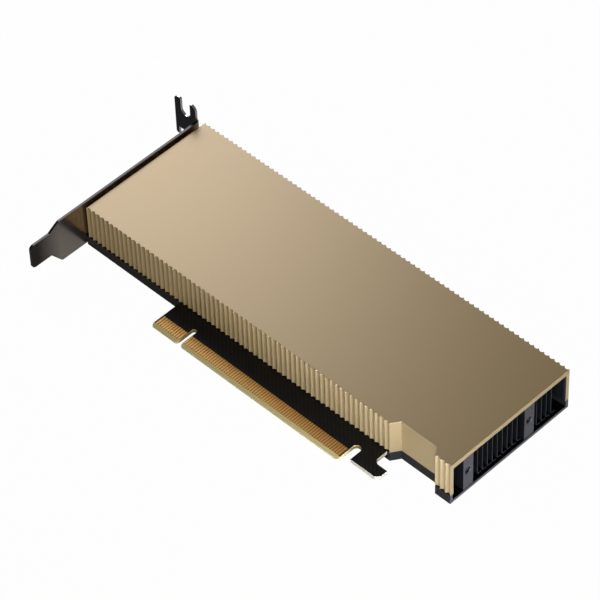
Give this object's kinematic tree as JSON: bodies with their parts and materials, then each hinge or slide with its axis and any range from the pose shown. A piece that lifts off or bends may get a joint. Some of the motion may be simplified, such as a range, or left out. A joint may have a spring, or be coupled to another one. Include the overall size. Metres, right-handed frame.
{
  "type": "passive accelerator card",
  "caption": "Low-profile single-slot accelerator card: fluted metal cover over a finned duct, black back tray, edge connector and vented bracket; no fan.",
  "frame": {"origin": "centre of the back tray's underside", "axes": "+X from the bracket to the air inlet end, +Y from the edge connector to the card's top edge, +Z from the back tray up to the cover"},
  "size_m": [0.1782, 0.0806, 0.0256],
  "materials": {
    "cover_finish": "bead-blasted, champagne gold anodised",
    "tray_finish": "satin black",
    "bracket_plate": "satin dark nickel",
    "board": "black solder mask on laminate",
    "contact_gold": "hard gold plated",
    "package": "laminate package",
    "die": "polished silicon",
    "compound": "grey thermal compound",
    "chip_plastic": "moulded black",
    "pad": "soft blue-grey gap filler",
    "choke": "pressed iron powder",
    "can": "bare can",
    "ceramic_brown": "fired ceramic",
    "heatsink": "black anodised",
    "fin": "black sheet with bare cut edges",
    "post": "satin dark grey",
    "spring_steel": "hardened sheet",
    "screw": "nickel plated",
    "screw_dark": "black oxide"
  },
  "bodies": {
    "root": {"cover": "cover_finish", "back_tray": "tray_finish", "bracket": "bracket_plate", "circuit_board": "board", "contacts_top": "contact_gold", "contacts_bottom": "contact_gold", "processor_package": "package", "processor_die": "die", "thermal_compound": "compound", "memory_chips": "chip_plastic", "memory_pads": "pad", "power_chokes": "choke", "choke_pads": "pad", "power_stages": "chip_plastic", "can_capacitors": "can", "board_controller": "chip_plastic", "flash_memory": "chip_plastic", "back_capacitors": "ceramic_brown", "heatsink_base": "heatsink", "heatsink_fins": "fin", "inlet_post_lower": "post", "inlet_post_upper": "post", "bracket_post_lower": "post", "bracket_post_upper": "post", "clamp_plate": "spring_steel", "clamp_screws": "screw", "board_screws": "screw", "bracket_screws": "screw_dark", "tray_screws": "screw_dark"}
  },
  "joints": []
}
